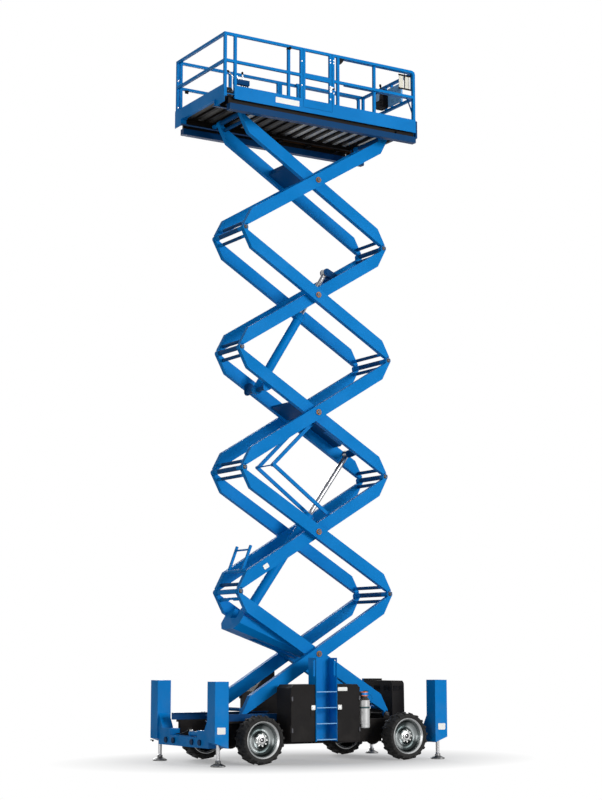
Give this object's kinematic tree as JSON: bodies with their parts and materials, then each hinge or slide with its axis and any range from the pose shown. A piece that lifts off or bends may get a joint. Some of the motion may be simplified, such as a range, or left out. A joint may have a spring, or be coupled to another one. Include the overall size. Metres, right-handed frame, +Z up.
{
  "type": "scissor lift",
  "caption": "Rough-terrain scissor lift: a railed work platform on stacked crossing arms over a wheeled chassis with corner jacks.",
  "frame": {"origin": "on the floor, in the middle of the machine's length and width", "axes": "+X forwards to the steered wheels, +Y to the machine's left, +Z up"},
  "size_m": [4.57, 2.31, 12.35],
  "materials": {
    "blue_paint": "gloss paint",
    "deck_plate": "satin tread plate",
    "black_chassis": "satin paint",
    "black_cover": "satin paint",
    "chrome_rod": "polished",
    "tyre": "matt",
    "rim_silver": "satin silver",
    "canister_silver": "satin"
  },
  "bodies": {
    "chassis": {"chassis_frame": "black_chassis", "chassis_roller_tracks": "black_chassis", "rear_outrigger_frame": "blue_paint", "front_outrigger_frame": "blue_paint", "rear_axle": "black_chassis", "front_axle": "black_chassis", "right_side_box": "black_cover", "engine_box": "black_cover", "engine_block": "black_chassis", "end_hood": "black_cover", "ladder": "blue_paint", "canister": "canister_silver"},
    "inner_1": {"inner_arm_1": "blue_paint"},
    "outer_1": {"outer_arm_1": "blue_paint"},
    "inner_2": {"inner_arm_2": "blue_paint", "safety_prop": "blue_paint"},
    "outer_2": {"outer_arm_2": "blue_paint"},
    "inner_3": {"inner_arm_3": "blue_paint"},
    "outer_3": {"outer_arm_3": "blue_paint"},
    "inner_4": {"inner_arm_4": "blue_paint"},
    "outer_4": {"outer_arm_4": "blue_paint"},
    "inner_5": {"inner_arm_5": "blue_paint"},
    "outer_5": {"outer_arm_5": "blue_paint"},
    "lower_barrel": {"lower_cylinder_barrel": "blue_paint"},
    "lower_rod": {"lower_cylinder_rod": "chrome_rod"},
    "upper_barrel": {"upper_cylinder_barrel": "blue_paint"},
    "upper_rod": {"upper_cylinder_rod": "chrome_rod"},
    "hose_lower": {"hose_link_lower": "blue_paint"},
    "hose_upper": {"hose_link_upper": "blue_paint"},
    "platform": {"platform_deck": "blue_paint", "right_rear_rail": "blue_paint", "right_front_rail": "blue_paint", "left_rail": "blue_paint", "rear_rail": "blue_paint"},
    "gate": {"platform_gate": "blue_paint"},
    "extension": {"extension_deck": "deck_plate", "extension_rails": "blue_paint", "control_box": "black_cover"},
    "right_rear_door": {"right_rear_door": "black_cover"},
    "right_front_door": {"right_front_door": "black_cover"},
    "engine_door": {"engine_door": "black_cover"},
    "rear_left_jack": {"rear_left_jack": "chrome_rod"},
    "rear_right_jack": {"rear_right_jack": "chrome_rod"},
    "front_left_jack": {"front_left_jack": "chrome_rod"},
    "front_right_jack": {"front_right_jack": "chrome_rod"},
    "rear_left_wheel": {"rear_left_tyre": "tyre", "rear_left_rim": "rim_silver"},
    "rear_right_wheel": {"rear_right_tyre": "tyre", "rear_right_rim": "rim_silver"},
    "front_left_wheel": {"front_left_tyre": "tyre", "front_left_rim": "rim_silver"},
    "front_right_wheel": {"front_right_tyre": "tyre", "front_right_rim": "rim_silver"},
    "left_knuckle": {"left_steering_knuckle": "black_chassis"},
    "right_knuckle": {"right_steering_knuckle": "black_chassis"}
  },
  "joints": [
    {"name": "lift", "type": "hinge", "parent": "chassis", "child": "inner_1", "pos_m": [1.51, 0, 0.755], "axis": [0, 1, 0], "range_deg": [-31.29, 22.03]},
    {"name": "inner_elbow_2", "type": "hinge", "parent": "inner_1", "child": "inner_2", "pos_m": [-1.42901, 0, 2.834], "axis": [0, 1, 0], "range_deg": [-44.56, 63.08]},
    {"name": "inner_elbow_3", "type": "hinge", "parent": "inner_2", "child": "inner_3", "pos_m": [1.51, 0, 4.913], "axis": [0, 1, 0], "range_deg": [-63.08, 44.56]},
    {"name": "inner_elbow_4", "type": "hinge", "parent": "inner_3", "child": "inner_4", "pos_m": [-1.42901, 0, 6.992], "axis": [0, 1, 0], "range_deg": [-44.56, 63.08]},
    {"name": "inner_elbow_5", "type": "hinge", "parent": "inner_4", "child": "inner_5", "pos_m": [1.51, 0, 9.071], "axis": [0, 1, 0], "range_deg": [-63.08, 44.56]},
    {"name": "centre_pin_1", "type": "hinge", "parent": "inner_1", "child": "outer_1", "pos_m": [0.0405, 0, 1.7945], "axis": [0, 1, 0], "range_deg": [-44.56, 63.08]},
    {"name": "centre_pin_2", "type": "hinge", "parent": "inner_2", "child": "outer_2", "pos_m": [0.0405, 0, 3.8735], "axis": [0, 1, 0], "range_deg": [-63.08, 44.56]},
    {"name": "centre_pin_3", "type": "hinge", "parent": "inner_3", "child": "outer_3", "pos_m": [0.0405, 0, 5.9525], "axis": [0, 1, 0], "range_deg": [-44.56, 63.08]},
    {"name": "centre_pin_4", "type": "hinge", "parent": "inner_4", "child": "outer_4", "pos_m": [0.0405, 0, 8.0315], "axis": [0, 1, 0], "range_deg": [-63.08, 44.56]},
    {"name": "centre_pin_5", "type": "hinge", "parent": "inner_5", "child": "outer_5", "pos_m": [0.0405, 0, 10.1105], "axis": [0, 1, 0], "range_deg": [-44.56, 63.08]},
    {"name": "platform_pivot", "type": "hinge", "parent": "outer_5", "child": "platform", "pos_m": [1.51, 0, 11.15], "axis": [0, 1, 0], "range_deg": [-31.79, 22.53]},
    {"name": "lower_cylinder_base", "type": "hinge", "parent": "inner_1", "child": "lower_barrel", "pos_m": [-1.17958, 0, 2.29972], "axis": [0, 1, 0], "range_deg": [-47.31, 66.99]},
    {"name": "lower_cylinder_stroke", "type": "slide", "parent": "lower_barrel", "child": "lower_rod", "axis": [0.5822, 0, 0.813], "range_m": [-1.1718, 0.8262]},
    {"name": "upper_cylinder_base", "type": "hinge", "parent": "inner_3", "child": "upper_barrel", "pos_m": [-0.88425, 0, 6.33906], "axis": [0, 1, 0], "range_deg": [-46.1, 65.27]},
    {"name": "upper_cylinder_stroke", "type": "slide", "parent": "upper_barrel", "child": "upper_rod", "axis": [0.5329, 0, 0.8462], "range_m": [-0.8216, 0.5797]},
    {"name": "hose_link_lower_pivot", "type": "hinge", "parent": "inner_2", "child": "hose_lower", "pos_m": [0.50553, 0, 4.12691], "axis": [0, 1, 0], "range_deg": [-67.09, 47.38]},
    {"name": "hose_link_knee", "type": "hinge", "parent": "hose_lower", "child": "hose_upper", "pos_m": [-0.70025, 0, 5.01916], "axis": [0, 1, 0], "range_deg": [-51.49, 72.92]},
    {"name": "extension_slide", "type": "slide", "parent": "platform", "child": "extension", "axis": [1, 0, 0], "range_m": [0, 1.2]},
    {"name": "gate_hinge", "type": "hinge", "parent": "platform", "child": "gate", "pos_m": [-0.485, -0.847, 11.8], "axis": [0, 0, 1], "range_deg": [0, 90]},
    {"name": "right_rear_door_hinge", "type": "hinge", "parent": "chassis", "child": "right_rear_door", "pos_m": [-0.86, -1.126, 0.8], "axis": [0, 0, -1], "range_deg": [0, 110]},
    {"name": "right_front_door_hinge", "type": "hinge", "parent": "chassis", "child": "right_front_door", "pos_m": [0.51, -1.126, 0.8], "axis": [0, 0, 1], "range_deg": [0, 110]},
    {"name": "engine_door_hinge", "type": "hinge", "parent": "chassis", "child": "engine_door", "pos_m": [-0.56, 1.126, 0.8], "axis": [0, 0, 1], "range_deg": [0, 110]},
    {"name": "rear_left_jack_slide", "type": "slide", "parent": "chassis", "child": "rear_left_jack", "axis": [0, 0, 1], "range_m": [0, 0.2]},
    {"name": "rear_right_jack_slide", "type": "slide", "parent": "chassis", "child": "rear_right_jack", "axis": [0, 0, 1], "range_m": [0, 0.2]},
    {"name": "front_left_jack_slide", "type": "slide", "parent": "chassis", "child": "front_left_jack", "axis": [0, 0, 1], "range_m": [0, 0.2]},
    {"name": "front_right_jack_slide", "type": "slide", "parent": "chassis", "child": "front_right_jack", "axis": [0, 0, 1], "range_m": [0, 0.2]},
    {"name": "rear_left_wheel_spin", "type": "hinge", "parent": "chassis", "child": "rear_left_wheel", "pos_m": [-1.36, 0.977, 0.405], "axis": [0, 1, 0], "continuous": true},
    {"name": "rear_right_wheel_spin", "type": "hinge", "parent": "chassis", "child": "rear_right_wheel", "pos_m": [-1.36, -0.977, 0.405], "axis": [0, 1, 0], "continuous": true},
    {"name": "front_left_wheel_spin", "type": "hinge", "parent": "left_knuckle", "child": "front_left_wheel", "pos_m": [1.5, 0.977, 0.405], "axis": [0, 1, 0], "continuous": true},
    {"name": "front_right_wheel_spin", "type": "hinge", "parent": "right_knuckle", "child": "front_right_wheel", "pos_m": [1.5, -0.977, 0.405], "axis": [0, 1, 0], "continuous": true},
    {"name": "left_steering", "type": "hinge", "parent": "chassis", "child": "left_knuckle", "pos_m": [1.5, 0.718, 0.405], "axis": [0, 0, 1], "range_deg": [-30, 30]},
    {"name": "right_steering", "type": "hinge", "parent": "chassis", "child": "right_knuckle", "pos_m": [1.5, -0.718, 0.405], "axis": [0, 0, 1], "range_deg": [-30, 30]}
  ],
  "couplings": [
    {"joint": "inner_elbow_2", "follows": "lift", "ratio": -2},
    {"joint": "inner_elbow_3", "follows": "lift", "ratio": 2},
    {"joint": "inner_elbow_4", "follows": "lift", "ratio": -2},
    {"joint": "inner_elbow_5", "follows": "lift", "ratio": 2},
    {"joint": "centre_pin_1", "follows": "lift", "ratio": -2},
    {"joint": "centre_pin_2", "follows": "lift", "ratio": 2},
    {"joint": "centre_pin_3", "follows": "lift", "ratio": -2},
    {"joint": "centre_pin_4", "follows": "lift", "ratio": 2},
    {"joint": "centre_pin_5", "follows": "lift", "ratio": -2},
    {"joint": "platform_pivot", "follows": "lift", "ratio": 1},
    {"joint": "lower_cylinder_base", "follows": "lift", "ratio": -2.125},
    {"joint": "lower_cylinder_stroke", "follows": "lift", "m_per_rad": 2.1383},
    {"joint": "upper_cylinder_base", "follows": "lift", "ratio": -2.0699},
    {"joint": "upper_cylinder_stroke", "follows": "lift", "m_per_rad": 1.4972},
    {"joint": "hose_link_lower_pivot", "follows": "lift", "ratio": 2.1282},
    {"joint": "hose_link_knee", "follows": "lift", "ratio": -2.3144},
    {"joint": "right_steering", "follows": "left_steering", "ratio": 1}
  ]
}
